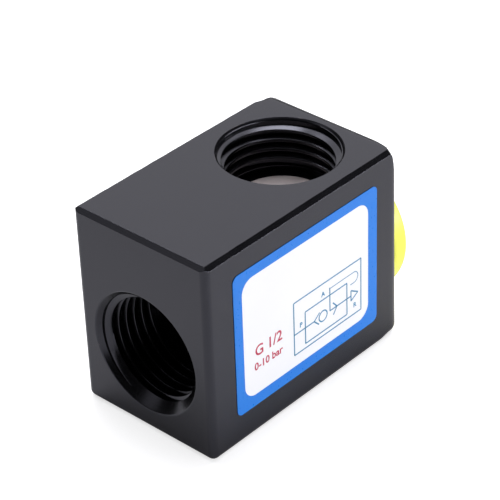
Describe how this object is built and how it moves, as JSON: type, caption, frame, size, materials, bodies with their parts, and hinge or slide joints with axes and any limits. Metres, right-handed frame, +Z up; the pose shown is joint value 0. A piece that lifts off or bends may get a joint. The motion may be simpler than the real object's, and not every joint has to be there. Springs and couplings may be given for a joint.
{
  "type": "quick exhaust valve",
  "caption": "Rectangular pneumatic quick exhaust valve: ported metal block, shuttle seal inside, screwed-in exhaust bush, side label and a push-in dust plug in the exhaust port.",
  "frame": {"origin": "middle of the block's underside", "axes": "+X along the flow from the inlet port P to the exhaust port R, +Z up through the outlet port A, label on -Y"},
  "size_m": [0.0521, 0.0292, 0.038],
  "materials": {
    "black_body": "semi-gloss black coating on aluminium",
    "bush_metal": "bare turned metal",
    "seal_rubber": "matt black",
    "label_print": "printed glossy film",
    "yellow_plastic": "smooth moulded yellow"
  },
  "bodies": {
    "valve": {"valve_body": "black_body", "exhaust_bush": "bush_metal", "bush_seal_ring": "seal_rubber", "label": "label_print"},
    "shuttle": {"cup_seal": "seal_rubber"},
    "plug": {"dust_plug": "yellow_plastic"}
  },
  "joints": [
    {"name": "shuttle_slide", "type": "slide", "parent": "valve", "child": "shuttle", "axis": [1, 0, 0], "range_m": [0, 0.0024]},
    {"name": "plug_pull", "type": "slide", "parent": "valve", "child": "plug", "axis": [1, 0, 0], "range_m": [0, 0.02]}
  ]
}
